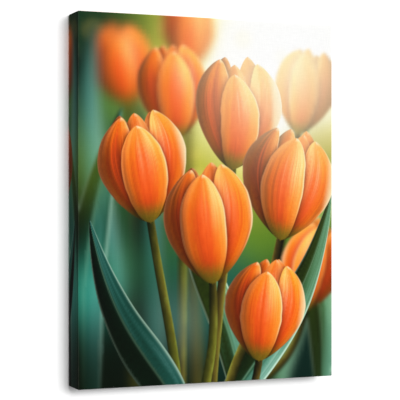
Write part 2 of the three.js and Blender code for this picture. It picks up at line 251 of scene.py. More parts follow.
def petal(layer, where, a, b, form, seed, warmth, dim=1.0, shadow=0.0):
    """One petal of a head. a and b run across and up the head, in head heights."""
    t = np.clip(b / form.long, 1e-4, 1)
    ruffle = 0.09 * ripple(t * 4, t * 0 + seed, seed) + 0.035 * ripple(t * 13, t * 0 + seed, seed + 8)
    half = form.wide * petal_width(t) * (1 + ruffle) + 1e-6
    s = (a - petal_middle(t, form)) / half
    inside = np.minimum((1 - np.abs(s)) * half * 0.9, np.minimum((form.long - b) * 1.3, b + 0.01))
    s = np.clip(s, -1.1, 1.1)
    off = np.abs(s)

    # The way the surface faces: a round head, each petal bowed, creased down its middle and finely ribbed.
    ribs = 0.26 * ripple(s * 7 + seed * 7, t * 1.1 + seed, seed + 1)
    ribs += 0.20 * ripple(s * 19 + seed * 3, t * 1.6, seed + 2)
    ribs *= smooth(0.02, 0.35, t)
    crease = s / 0.09 * bell(s, 0.09) * smooth(0.1, 0.4, t) * (1 - smooth(0.7, 0.95, t))
    body_x, body_y = a / HEAD_HALF, (b - HEAD_MIDDLE) / HEAD_TALL
    nx = 0.66 * body_x + 0.36 * s * off**0.4 + 0.26 * form.facing + ribs - 0.20 * crease
    ny = 0.50 * body_y + 0.22 * (t - 0.5) + 0.10 * ripple(s * 2 + seed, t * 3, seed + 3)
    nz = np.sqrt(np.clip(1 - nx * nx - ny * ny, 0.04, 1))
    normal = np.stack([nx * layer.side, ny, nz], -1) / np.sqrt(nx * nx + ny * ny + nz * nz)[..., None]
    open_air = np.clip(1 - 0.75 * shadow, 0.1, 1) * (0.62 + 0.38 * smooth(0.0, 0.3, b)) * dim
    light = shone(normal, KEY_FROM, 1.3) * KEY_LIGHT + shone(normal, SKY_FROM) * SKY_LIGHT
    light = open_air[..., None] * (light + shone(normal, BOUNCE_FROM) * BOUNCE_LIGHT)

    # The skin: gold at the edges, with a red flame that feathers out along the ribs, and a green foot.
    feather = 0.30 * ripple(s * 16 + seed, t * 1.3, seed + 5) + 0.16 * ripple(s * 40, t * 2.0, seed + 6)
    flame = 1 - smooth(0.30, 0.95, off + feather + 0.55 * smooth(0.55, 1.0, t) + 0.5 * warmth)
    gold = smooth(0.55, 1.0, off + 0.4 * feather + 0.35 * smooth(0.6, 1, t))
    vein = noise(s * 34 + seed * 5, t * 1.5, seed + 9)
    skin = mix(mix(SKIN, FLAME, 0.55 * flame), GOLD, (0.30 + 0.45 * warmth) * gold)
    skin = mix(skin, FOOT, 0.85 * (1 - smooth(0.02, 0.20, b + 0.10 * feather)))
    skin = skin * (0.86 + 0.24 * vein[..., None])

    # Sunlight that comes through the thin upper part, the satin shine, and the bright edges.
    sunward = body_x * layer.side
    thin = smooth(0.25, 1.0, t) * (0.55 + 0.45 * smooth(0.2, 1.0, off)) * unit(0.55 + 0.75 * sunward)
    glow = THROUGH * (0.55 * thin * open_air)[..., None]
    shine = shone(normal, SHINE_FROM, 26) * ((0.10 + 0.16 * vein) * open_air)[..., None] * SHINE
    edge = smooth(0.90, 0.995, off) * smooth(0.15, 0.5, t) + smooth(0.955, 0.995, t)
    toward = np.clip(0.35 + 0.65 * np.sign(s) * layer.side + 0.4 * smooth(0.5, 1.0, t), 0.12, 1)
    fringe = smooth(0.84, 1.04, np.hypot(body_x, 0.62 * body_y)) * unit(sunward * 1.2 + 0.1)
    colour = skin * light + glow + shine
    colour = mix(colour, EDGE_LIGHT * (0.25 + 0.75 * dim), 0.62 * unit(edge) * toward * open_air)
    colour = mix(colour, EDGE_LIGHT, 0.60 * fringe * dim)
    layer.lay(where, colour, inside * layer.size)


def head(layer, foot, lean, size, seed, open_by, warmth):
    """A tulip's head, from the back petals to the front one."""
    where = window(foot - np.array([1.1, 0.3]) * size, foot + np.array([1.1, 1.2]) * size)
    dx, dy = (X[where] - foot[0]) / size, (Y[where] - foot[1]) / size
    a = dx * math.cos(lean) - dy * math.sin(lean)
    b = dx * math.sin(lean) + dy * math.cos(lean)
    layer.size = size
    layer.side = 1 if foot[0] < SUN[0] else -1
    r = np.random.default_rng(seed)

    def about(value, spread):
        return value + r.uniform(-spread, spread)

    turn = about(0.0, 0.07)
    front = Form(about(0.275, 0.03), turn, about(0.0, 0.06), about(0.90, 0.05), 1.5 * turn)
    left, right = (
        Form(about(0.235, 0.02), 0.5 * turn + way * (about(0.165, 0.01) + open_by),
             way * (about(0.13, 0.05) + 1.6 * open_by), about(long, 0.04), 0.6 * way)
        for way, long in ((-1, 0.98), (1, 0.97)))
    backs = [Form(0.22, 0.10 * way, about(0.10 * way, 0.05), about(1.00, 0.05), 0.3 * way) for way in (-1, 1)]
    backs.append(Form(0.22, 0.0, about(0.0, 0.06), about(0.97, 0.04), 0.0))
    sides = [(left, seed + 21), (right, seed + 22)]
    if seed % 2:
        sides.reverse()

    dark = np.maximum(petal_shadow(a, b, left, 0.06), petal_shadow(a, b, right, 0.06))
    for k, form in enumerate(backs):
        petal(layer, where, a, b, form, seed + 11 + k, warmth + 0.2, 0.80, dark)
    front_shadow = petal_shadow(a, b, front, 0.05)
    upper_shadow = petal_shadow(a, b, sides[1][0], 0.04)
    petal(layer, where, a, b, *sides[0], warmth, shadow=np.maximum(front_shadow, upper_shadow * 0.8))
    petal(layer, where, a, b, *sides[1], warmth, shadow=front_shadow)
    petal(layer, where, a, b, front, seed + 23, warmth)


def curve_distance(x, y, points, steps):
    """The nearest share along a curve through four control points, and the signed distance to it."""
    t = np.linspace(0, 1, steps + 1)[:, None]
    p = np.array(points, float)
    c = (1 - t) ** 3 * p[0] + 3 * (1 - t) ** 2 * t * p[1] + 3 * (1 - t) * t**2 * p[2] + t**3 * p[3]
    best = np.full(x.shape, 1e9)
    share, side = np.zeros(x.shape), np.zeros(x.shape)
    for k in range(steps):
        d = c[k + 1] - c[k]
        u = unit(((x - c[k, 0]) * d[0] + (y - c[k, 1]) * d[1]) / (d @ d))
        ex, ey = x - c[k, 0] - u * d[0], y - c[k, 1] - u * d[1]
        dist = ex * ex + ey * ey
        near = dist < best
        best = np.where(near, dist, best)
        share = np.where(near, (k + u) / steps, share)
        side = np.where(near, np.sign(d[0] * ey - d[1] * ex), side)
    return share, side * np.sqrt(best)


def curve_window(points, wide):
    """The part of the picture round a curve."""
    return window(np.min(points, axis=0) - wide, np.max(points, axis=0) + wide)


def stem(layer, points, seed):
    """A round stem along a curve, redder in its shade."""
    where = curve_window(points, STEM_THICK * 2)
    t, d = curve_distance(X[where], Y[where], points, 28)
    half = STEM_THICK / 2 * (1.2 - 0.3 * t)
    s = -d / half * layer.side
    lit = unit(0.40 + 0.34 * s + 0.12 * ripple(t * 26, s * 2, seed) - 0.25 * smooth(0.80, 1.0, t))
    green = STEM_GREEN * (0.15 + 1.1 * lit[..., None])
    share = STEM_GREENED * (0.4 + 0.6 * noise(t * 3, t * 0, seed + 4))
    colour = mix(toned(lit, STEM_TONES), green, share)
    layer.lay(where, colour, half - np.abs(d))


def leaf(layer, points, wide, seed, lime=0.0, dim=1.0):
    """A long blade, folded a little along its rib, with its veins running from end to end."""
    where = curve_window(points, wide)
    t, d = curve_distance(X[where], Y[where], points, 40)
    outline = unit(np.sin(np.pi * unit(t) ** 0.7)) ** 0.8
    half = wide * outline * (1 + 0.08 * ripple(t * 5, t * 0, seed)) - 0.3 * PIXEL
    s = np.clip(d / np.maximum(half, PIXEL), -1.2, 1.2)
    off = np.abs(s)
    side = -np.tanh(s * 6) * layer.side
    lit = 0.40 + 0.17 * side + 0.22 * ripple(t * 3.3 + seed, s * 1.2 + seed, seed) + 0.12 * off * side
    lit += 0.14 * ripple(s * 8 + seed, t * 2.2, seed + 1) + 0.10 * ripple(s * 20 + seed, t * 3, seed + 2)
    lit = unit(lit * dim)
    colour = toned(lit, LEAF_TONES)
    colour = mix(colour, LIME * (0.12 + 1.1 * lit[..., None]), lime * (0.35 + 0.65 * smooth(0.1, 0.8, t)))
    colour = mix(colour, RIB * (0.3 + lit[..., None]), 0.4 * bell(s, 0.05))
    edge = smooth(0.86, 0.99, off) * (0.35 + 0.65 * (side > 0))
    colour = mix(colour, LEAF_RIM * (0.25 + 0.9 * dim), 0.55 * edge)
    layer.lay(where, colour, half - np.abs(d))


def tulip(layer, centre, size, lean, seed, foot, open_by=0.0, warmth=0.3):
    """A head with its stem. centre is the middle of the head, and foot is where the stem starts."""
    way = np.array([math.sin(lean), math.cos(lean)])
    neck = np.array(centre) - 0.45 * size * way
    layer.side = 1 if centre[0] < SUN[0] else -1
    curve = [foot, (foot[0], foot[1] + 0.3), neck - 0.35 * way, neck + (0.02 * way[0], 0.02)]
    stem(layer, curve, seed)
    head(layer, neck, lean, size, seed, open_by, warmth)


def backdrop():
    """A garden far out of focus, from the dark lower left to the sun."""
    far = np.hypot((X - SUN[0]) * 0.9, Y - SUN[1]) + 0.12 * ripple(X * 3, Y * 3, 5)
    image = toned(far, GARDEN)
    for x, y, radius, code, strength in BUSHES:
        spot = np.exp(-((((X - x) ** 2 + (Y - y) ** 2) / radius**2) ** 1.3))
        image = mix(image, tone(code), strength * spot)
    r = np.random.default_rng(8)
    for _ in range(GLINTS):
        x, y = r.uniform(0, 1), r.uniform(0.55, 1.3)
        radius = r.uniform(0.018, 0.05)
        d = np.hypot(X - x, Y - y)
        disc = (1 - smooth(radius * 0.84, radius, d)) * (0.6 + 0.4 * smooth(0.4, 0.95, d / radius))
        near = bell(math.hypot(x - SUN[0], y - SUN[1]), math.sqrt(0.35))
        image = mix(image, tone(0xFFE38A), disc * (0.07 + 0.42 * near))
    return blurred(image, 0.010)


def printed(image):
    """The picture with the ink's deeper darks, and highlights that run softly to white."""
    image = 1.38 * image**1.32
    return image / (1 + image**5) ** (1 / 5)


def picture():
    """The whole picture, from the garden behind to the flowers in front."""
    far = Layer()
    tulip(far, (0.17, 1.13), 0.29, -0.12, 32, (0.2, -0.2))
    tulip(far, (0.42, 1.26), 0.28, 0.05, 33, (0.45, -0.2), warmth=0.6)
    leaf(far, [(0.75, -0.1), (0.8, 0.3), (0.95, 0.5), (0.98, 0.85)], 0.07, 34, lime=0.5)
    leaf(far, [(0.30, -0.1), (0.2, 0.4), (0.30, 0.7), (0.22, 1.05)], 0.06, 35, dim=0.8)
    leaf(far, [(0.16, 0.3), (-0.02, 0.75), (-0.02, 1.05), (0.07, 1.30)], 0.075, 36, dim=0.95)
    image = far.over(backdrop(), 0.017)

    middle = Layer()
    leaf(middle, [(0.05, -0.2), (-0.04, 0.3), (0.06, 0.7), (0.16, 1.0)], 0.075, 41, dim=0.85)
    leaf(middle, [(0.95, -0.1), (1.0, 0.3), (0.86, 0.5), (0.90, 0.98)], 0.06, 42, lime=0.4)
    tulip(middle, (0.88, 1.06), 0.33, 0.16, 43, (0.7, -0.2), warmth=0.7)
    tulip(middle, (0.36, 1.04), 0.34, -0.10, 45, (0.38, -0.2), warmth=0.4)
    tulip(middle, (0.92, 0.40), 0.34, 0.22, 44, (0.62, -0.2))
    image = middle.over(image, 0.005)
    for glow in GLOWS:
        image = screened(image, *glow)

    near = Layer()
    leaf(near, [(0.62, -0.15), (0.64, 0.25), (0.40, 0.40), (0.36, 0.86)], 0.065, 55, lime=0.3)
    tulip(near, (0.60, 0.96), 0.40, 0.06, 51, (0.50, -0.2), open_by=0.015)
    tulip(near, (0.24, 0.77), 0.41, -0.16, 52, (0.38, -0.2), open_by=0.005)
    leaf(near, [(0.52, -0.15), (0.72, 0.15), (0.90, 0.25), (1.0, 0.70)], 0.075, 56, lime=0.2)
    tulip(near, (0.82, 0.70), 0.41, 0.20, 53, (0.55, -0.2), open_by=0.04, warmth=0.5)
    tulip(near, (0.50, 0.56), 0.44, -0.05, 54, (0.47, -0.2))
    leaf(near, [(0.42, -0.15), (0.28, 0.1), (0.12, 0.18), (0.04, 0.60)], 0.08, 57, dim=0.85)
    tulip(near, (0.72, 0.24), 0.38, 0.14, 58, (0.52, -0.3), open_by=0.025)
    image = mix(near.over(image), SHADE, 0.85 * bell(np.hypot(X, Y), 0.3))
    return printed(screened(image, *GLARE))


# ---- The cloth ----

FRONT_Y = CAD_LOW.y
BACK_Y = FRONT_Y + DEPTH
FLAT_X = WIDTH / 2 - FOLD_RADIUS  # half of the flat front
FLAT_Z = SHEET_HEIGHT / 2 - FOLD_RADIUS
FLAT = np.array([FLAT_X, FLAT_Z])
BEND = FOLD_RADIUS * math.pi / 2
SIDE = DEPTH - 2 * FOLD_RADIUS
AT_BACK = 2 * BEND + SIDE  # cloth from the flat front to the flat back
CUT = AT_BACK + RETURN_WIDTH - FOLD_RADIUS  # and to its cut edge
INK_END = AT_BACK + BLEED

BLOCK = 8  # finest cells along the coarsest ones of the front and sides
COLUMNS = BLOCK * round(2 * FLAT_X / (CELL * BLOCK))
ROWS = BLOCK * round(2 * FLAT_Z / (CELL * BLOCK))
SIDE_ROWS = BLOCK * round(SIDE / (CELL * BLOCK))
BEND_STEP, BACK_STEP, INNER_STEP = 4, 6, 24  # finest cells along a cell of the bends, back and inside
CORNER_STEPS = 4  # faces round each corner between two sides
CORNER_POWER = 0.5  # 1 for round corners, and less for squarer ones
TOLERANCE = {8: 0.03, 4: 0.035, 2: 0.06}  # the most a cell's colours may be off the picture's, by its size

BAKE_SCALE, BAKE_MARGIN = 1.9, 0.006  # of the baked map, for a metre of cloth
BAKE_INNER_SCALE, BAKE_INNER_X = 0.42, 0.81  # for the inner face, beside it
PAINT = 1 / 1.4  # the ink's own tone, which the room's light brings up to the picture's
FOLD_HIGHLIGHT, FOLD_WEAR = 0.4, 0.02  # how much lighter the ink is painted along the front's folds, a painted highlight on their bend, and how much white cloth shows there as wear
PUFF = 0.0006  # how far the turned-in cloth's cut edge lifts off the bars between the staples
STAPLE_GRIP = 0.012  # how far from a staple it lies close
FOLD_CLEAR = 0.062  # what the folded corners cover of the top and bottom edges
CREASE_CLEAR = 0.025  # and of the left and right edges
FREE_AFTER = 0.02  # how much further from the corners it lifts freely
CUT_STRAY, STRAYS = 0.0007, 70  # how far the cut edge strays from straight, and how often to a metre

TUCK_ROWS = np.array([0, 0.0001, 0.0003, 0.0006, 0.0012, 0.0024])  # in from a tucked layer's slanting edge
TUCK_ROOM = 0.006  # the width from which the layer has room for all those rows
TUCK_EDGE = 0.0006  # how far in from that edge it takes to rise to its height
TUCK_EASE_SIDE, TUCK_EASE_BACK = 0.003, 0.0006  # and from its other edge, on the side and on the back
TUCK_START = 0.02  # of the side's depth, where the layer starts

THIRDS = np.array([1, 2, 3]) / 3
BACK_BEND = BEND + SIDE + BEND * THIRDS  # rows round the bend on to the back
LEFT, TOP, RIGHT, BOTTOM, FRONT = range(5)
OUTWARD = np.array([(-1, 0), (0, 1), (1, 0), (0, -1), (0, 0)], float)  # x and z, for each side
RAW_CANVAS = tone(0xE9E4DA)

AROUND, start = [], 0  # each side, with the first and last of the points along it
for side, count in ((LEFT, ROWS), (TOP, COLUMNS), (RIGHT, ROWS), (BOTTOM, COLUMNS)):
    AROUND.append((side, start, start + count))
    start += count + CORNER_STEPS


def section(distance, lift):
    """Where a point of the cloth lies: out from the flat front's edge, and y.

    distance is measured along the cloth from that edge, and lift off its outer face.
    """
    d, r = np.asarray(distance, float), FOLD_RADIUS
    first = np.clip(d, 0, BEND) / r
    second = np.clip(d - BEND - SIDE, 0, BEND) / r
    out = (r + lift) * np.where(d < BEND, np.sin(first), np.cos(second)) - np.clip(d - AT_BACK, 0, None)
    y = FRONT_Y + r - (r + lift) * np.cos(first) + np.clip(d - BEND, 0, SIDE) + (r + lift) * np.sin(second)
    return out, y


class Cloth:
    """Points that cells may use, and the faces made of them."""

    def __init__(self):
        self.points = np.zeros((0, 7))
        self.faces = []
        self.sides = []

    def add(self, x, y, z, across, up, distance, inner):
        """Adds points, and returns their numbers.

        across and up are places on the unfolded cloth, where those are single values. distance is along the
        cloth from the flat front, and inner is 1 on its inner face.
        """
        made = np.stack(np.broadcast_arrays(x, y, z, across, up, distance, inner), -1)
        first = len(self.points)
        self.points = np.concatenate([self.points, made.reshape(-1, 7)])
        return np.arange(first, len(self.points)).reshape(made.shape[:-1])

    def fill(self, ids, cells, used=None, sides=FRONT, flip=False):
        """A face for each cell (row, column, rows, columns), through all the used points round it."""
        for (row, column, high, wide), side in zip(cells, np.broadcast_to(sides, len(cells))):
            top, right = row + high, column + wide
            ring = [*ids[row, column:right], *ids[row:top, right]]
            ring += [*ids[top, right:column:-1], *ids[top:row:-1, column]]
            if used is not None:
                ring = [i for i in ring if used[i]]
            ring = [i for k, i in enumerate(ring) if i != ring[k - 1]]
            if len(ring) > 2:
                self.faces.append(ring[::-1] if flip else ring)
                self.sides.append(side)


def rim(ids):
    """The points round a lattice, clockwise from the lower left, with each corner's repeated."""
    parts = []
    for side in (ids[:, 0], ids[-1, :], ids[::-1, -1], ids[0, ::-1]):
        parts += [side, np.repeat(side[-1], CORNER_STEPS - 1)]
    return np.concatenate([*parts, ids[:1, 0]])


def sides_round(side, flat, corner):
    """The sides of cells: those of one side, and then a corner's, half of which are the next side's."""
    return [side] * (flat + corner // 2) + [(side + 1) % 4] * (corner // 2)


def rim_normals():
    """The way out at each point round a lattice, and the side of each cell between them."""
    out, sides = [], []
    for side, first, last in AROUND:
        start = math.atan2(OUTWARD[side][1], OUTWARD[side][0])
        out += [(math.cos(start), math.sin(start))] * (last - first + 1)
        for k in range(1, CORNER_STEPS):
            angle = start - k * math.pi / 2 / CORNER_STEPS
            out.append([math.copysign(abs(v) ** CORNER_POWER, v) for v in (math.cos(angle), math.sin(angle))])
        sides += sides_round(side, last - first, CORNER_STEPS)
    return np.array([*out, out[0]]), np.array(sides)


def rim_stops(step):
    """The points round a lattice where cells as wide as that many finest ones meet."""
    stops = []
    for _, first, last in AROUND:
        stops += [*range(first, last, step), *range(last, last + CORNER_STEPS)]
    return [*stops, stops[-1] + 1]


def rim_merged(row):
    """A row round a lattice whose points at each corner are one and the same."""
    for _, _, last in AROUND:
        row[last:last + CORNER_STEPS + 1] = row[last]
    row[0] = row[-1]
    return row


def blend_error(colour, size):
    """How far the colours in each block of cells are from a blend of the block's corners."""
    n, m = colour.shape[0] - 1, colour.shape[1] - 1

    def part(a, b):
        return colour[a:n - size + a + 1:size, b:m - size + b + 1:size]

    worst = 0
    for a in range(size + 1):
        low = part(0, 0) + (part(size, 0) - part(0, 0)) * (a / size)
        high = part(0, size) + (part(size, size) - part(0, size)) * (a / size)
        for b in range(size + 1):
            error = np.abs(part(a, b) - low - (high - low) * (b / size)).max(-1)
            worst = np.maximum(worst, error)
    return worst


def fine_cells(colour):
    """Cells for a lattice, finest where its colours change most."""
    cells, size = [], BLOCK
    here = np.ones([(n - 1) // size for n in colour.shape[:2]], bool)
    while size > 1:
        rough = here & (blend_error(colour, size) > TOLERANCE[size])
        cells += [(row * size, column * size, size, size) for row, column in np.argwhere(here & ~rough)]
        here = np.repeat(np.repeat(rough, 2, 0), 2, 1)
        size //= 2
    return cells + [(row, column, 1, 1) for row, column in np.argwhere(here)]


def picture_at(image, across, up):
    """The picture's colours at points of the cloth, which mirror it past the folds."""
    shares = []
    for value, flat, count in ((up, FLAT_Z, image.shape[0]), (across, FLAT_X, image.shape[1])):
        fold = flat + BEND / 2
        value = np.where(np.abs(value) > fold, np.sign(value) * 2 * fold - value, value)
        shares.append(np.clip((value / fold + 1) / 2 * count - 0.5, 0, count - 1.001))
    (row, column), (v, u) = np.floor(shares).astype(int), np.array(shares) % 1
    low = mix(image[row, column], image[row, column + 1], u)
    high = mix(image[row + 1, column], image[row + 1, column + 1], u)
    return mix(low, high, v)


def strips():
    """The cloth's rows past the front: distance, lift, and the width of the cells before, in finest ones."""
    outer = [
        (BEND * THIRDS, BEND_STEP),
        (BEND + SIDE * np.arange(1, SIDE_ROWS + 1) / SIDE_ROWS, None),
        (BACK_BEND, BEND_STEP),
        (AT_BACK + BLEED * np.arange(1, 5) / 4, BEND_STEP),
        (np.linspace(INK_END + CLOTH, CUT, 6), BACK_STEP),
    ]
    inner = [CUT, (CUT + AT_BACK) / 2, AT_BACK, AT_BACK - BEND / 2, AT_BACK - BEND,
             AT_BACK / 2, BEND, BEND / 2]
    return [(d, 0.0, step) for band, step in outer for d in band] + [(d, -CLOTH, INNER_STEP) for d in inner]


def side_cells(image, edge, distances, first_row):
    """Cells for the four sides' flat parts, and for the corners between them."""
    cells, sides = [], []
    for side, first, last in AROUND:
        out = OUTWARD[side] * (FLAT + distances[:, None, None])
        place = np.where(OUTWARD[side] != 0, out, edge[None, first:last + 1])
        colour = np.sqrt(picture_at(image, place[..., 0], place[..., 1]))
        flat = [(row + first_row, column + first, high, wide)
                for row, column, high, wide in fine_cells(colour)]
        corner = [(row + first_row, last + k, BLOCK, 1)
                  for k in range(CORNER_STEPS) for row in range(0, SIDE_ROWS, BLOCK)]
        cells += flat + corner
        sides += sides_round(side, len(flat), len(corner))
    return cells, sides


def looseness(x, z):
    """How freely the turned-in cloth lifts, from 0 beside each staple and at the corners to 1."""
    boxes = [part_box(name) for name in NODES if name.startswith("staple")]
    staples = np.array([(low + high) / 2 for low, high in boxes])
    upright = FLAT_X - np.abs(x) < FLAT_Z - np.abs(z)
    gap_x = np.abs(x[..., None] - staples[:, 0]).min(-1)
    gap_z = np.abs(z[..., None] + CENTRE_Z - staples[:, 2]).min(-1)
    gap = np.where(upright, gap_z, gap_x)
    clear = np.where(upright, FLAT_Z - CREASE_CLEAR - np.abs(z), FLAT_X - FOLD_CLEAR - np.abs(x))
    return (1 - bell(gap, STAPLE_GRIP)) * smooth(0, FREE_AFTER, clear)


def cut_stray(x, z):
    """How far the cut edge strays outwards from straight."""
    return CUT_STRAY * 2 * ripple(x * STRAYS, z * STRAYS, 12)


def lay_strips(cloth, front, inside, image):
    """The sides, back and inside: rows of points from the front's edge to the inside's, and their cells."""
    normals, sides = rim_normals()
    edge = cloth.points[rim(front)][:, [0, 2]] - (0, CENTRE_Z)
    rows, ids = strips(), [rim(front)]
    for distance, lift, _ in rows:
        out, y = section(distance, lift)
        if out > 0:
            place = edge + normals * out
        else:
            straight = edge * (1 + out / FLAT)
            share = smooth(AT_BACK, CUT, distance)
            y = y + PUFF * share * looseness(*straight.T)
            out = out + share * cut_stray(*straight.T)
            place = edge * (1 + out[:, None] / FLAT)
        row = cloth.add(place[:, 0], y, place[:, 1] + CENTRE_Z, place[:, 0], place[:, 1], distance, lift < 0)
        if distance > AT_BACK:
            row = rim_merged(row)
        row[-1] = row[0]
        ids.append(row)
    ids.append(rim(inside))

    steps = [step for _, _, step in rows] + [INNER_STEP]
    distances = np.array([BEND] + [distance for distance, _, step in rows if step is None])
    cells, cell_sides = side_cells(image, edge, distances, steps.index(None))
    for row, step in enumerate(steps):
        if step is not None:
            stops = rim_stops(step)
            cells += [(row, a, 1, b - a) for a, b in zip(stops, stops[1:])]
            cell_sides += [sides[a] for a in stops[:-1]]
    return np.array(ids), cells, cell_sides


def fold_reach(distance):
    """How far a corner's folded layers reach from the corner, along the side and then across the back."""
    turn = np.clip(distance - BEND - SIDE, 0, BEND) / BEND
    along = FOLD_RADIUS + np.clip(distance - BEND, 0, SIDE)
    return along + 2 * FOLD_RADIUS * turn + np.clip(distance - AT_BACK, 0, None)


def lay_fold(cloth, side_x, side_z):
    """The tucked layers at one corner, as a thin closed plate on the top or bottom side and on the back."""
    side = BEND + SIDE * np.linspace(TUCK_START, 1, 28)
    distance = np.array([*side, *BACK_BEND, *np.linspace(AT_BACK, CUT, 8)[1:]])
    reach = fold_reach(distance)
    start = np.maximum(FOLD_RADIUS, reach - DEPTH)
    width = (reach - start)[:, None]
    near = TUCK_ROWS * unit(width / TUCK_ROOM)
    inset = np.concatenate([near, near[:, -1:] + (width - near[:, -1:]) * np.linspace(0, 1, 13)[1:]], axis=1)
    s = reach[:, None] - inset
    d = np.broadcast_to(distance[:, None], s.shape)
    edge = np.sqrt(unit(inset / TUCK_EDGE))
    ease = smooth(0, np.where(d < AT_BACK, TUCK_EASE_SIDE, TUCK_EASE_BACK), s - start[:, None])
    slack = 0.85 + 0.15 * noise(s * 90 + side_x, d * 60, 3 + side_z)
    ids = []
    for lift in (FOLD_RISE * np.clip(edge * ease, 0.02, 1) * slack, np.full(s.shape, -CLOTH / 2)):
        out, y = section(d, lift)
        x = side_x * (WIDTH / 2 - s)
        z = CENTRE_Z + side_z * (FLAT_Z + out)
        ids.append(cloth.add(x, y, z, side_x * (FLAT_X + d), side_z * (FLAT_Z + BEND / 2 + s), d, False))

    flip = side_x * side_z > 0
    n, m = s.shape
    cells = [(i, j, 1, 1) for i in range(n - 1) for j in range(m - 1)]
    cloth.fill(ids[0], cells, flip=flip)
    cloth.fill(ids[1], cells, flip=not flip)
    border = np.array([np.concatenate([k[0, :], k[1:, -1], k[-1, -2::-1], k[-2::-1, 0]]) for k in ids])
    cloth.fill(border, [(0, j, 1, 1) for j in range(border.shape[1] - 1)], flip=not flip)


def make_cloth(image):
    """The whole cloth: front, sides and back, the inside, and the folded corners."""
    cloth = Cloth()
    x, z = np.meshgrid(np.linspace(-FLAT_X, FLAT_X, COLUMNS + 1), np.linspace(-FLAT_Z, FLAT_Z, ROWS + 1))
    front = cloth.add(x, FRONT_Y, z + CENTRE_Z, x, z, 0, False)
    inside = cloth.add(x, FRONT_Y + CLOTH, z + CENTRE_Z, x, z, 0, True)
    outer_cells = fine_cells(np.sqrt(picture_at(image, x, z)))
    inner_cells = [(r, c, INNER_STEP, INNER_STEP) for r in range(0, ROWS, INNER_STEP)
                   for c in range(0, COLUMNS, INNER_STEP)]
    wrap, wrap_cells, wrap_sides = lay_strips(cloth, front, inside, image)
    used = np.zeros(len(cloth.points), bool)
    for ids, cells in ((front, outer_cells), (inside, inner_cells), (wrap, wrap_cells)):
        row, column, high, wide = np.array(cells).T
        for a in (row, row + high):
            for b in (column, column + wide):
                used[ids[a, b]] = True
    cloth.fill(front, outer_cells, used)
    cloth.fill(inside, inner_cells, used, flip=True)
    cloth.fill(wrap, wrap_cells, used, wrap_sides)
    for side_x in (-1, 1):
        for side_z in (-1, 1):
            lay_fold(cloth, side_x, side_z)
    return cloth


def linked(name, data):
    """A new object in the scene."""
    made = bpy.data.objects.new(name, data)
    bpy.context.collection.objects.link(made)
    return made


def cloth_mesh(name, cloth):
    """The cloth's faces as a mesh, and the number of the cloth's point at each of their corners."""
    loops = np.concatenate(cloth.faces)
    sizes = np.array([len(face) for face in cloth.faces])
    kept, places = np.unique(loops, return_inverse=True)
    mesh = bpy.data.meshes.new(name)
    mesh.vertices.add(len(kept))
    mesh.vertices.foreach_set("co", cloth.points[kept, :3].ravel())
    mesh.loops.add(len(loops))
    mesh.loops.foreach_set("vertex_index", places.astype(np.int32))
    mesh.polygons.add(len(sizes))
    mesh.polygons.foreach_set("loop_start", np.concatenate([[0], np.cumsum(sizes)[:-1]]).astype(np.int32))
    mesh.polygons.foreach_set("use_smooth", np.ones(len(sizes), bool))
    mesh.update(calc_edges=True)
    return mesh, loops, np.repeat(cloth.sides, sizes)


def cloth_object(name, image):
    """The cloth, with the picture as its colours and the unfolded cloth as its UV maps."""
    cloth = make_cloth(image)
    mesh, point, side = cloth_mesh(name, cloth)
    distance, inner = cloth.points[point, 5], cloth.points[point, 6] > 0
    sheet = np.where(OUTWARD[side] != 0, OUTWARD[side] * (FLAT + distance[:, None]), cloth.points[point, 3:5])
    across, up = sheet.T
    # Painted highlight: the ink is made lighter along the front's folds, where light would catch their bend.
    # A little white cloth also shows through there, as wear.
    turn = np.sin(np.pi * unit(distance / BEND)) * (0.6 + 0.8 * noise(across * 200, up * 200, 9))
    ink_with_fold_highlight = picture_at(image, across, up) * PAINT * (1 + FOLD_HIGHLIGHT * turn[:, None])
    rgba = np.ones((len(point), 4))
    rgba[:, :3] = mix(ink_with_fold_highlight, RAW_CANVAS, FOLD_WEAR * turn)
    rgba[inner | (distance > INK_END), :3] = RAW_CANVAS
    mesh.color_attributes.new("Picture", "FLOAT_COLOR", "CORNER").data.foreach_set("color", rgba.ravel())
    bake = BAKE_MARGIN + (sheet + FLAT + CUT) * BAKE_SCALE
    bake[inner] = (BAKE_INNER_X, BAKE_MARGIN) + (sheet[inner] + FLAT + CUT) * BAKE_INNER_SCALE
    for layer, values in (("Sheet", sheet), ("OFBake", bake)):
        mesh.uv_layers.new(name=layer).data.foreach_set("uv", values.ravel())
    mesh.validate()
    return linked(name, mesh)


# ---- Materials ----


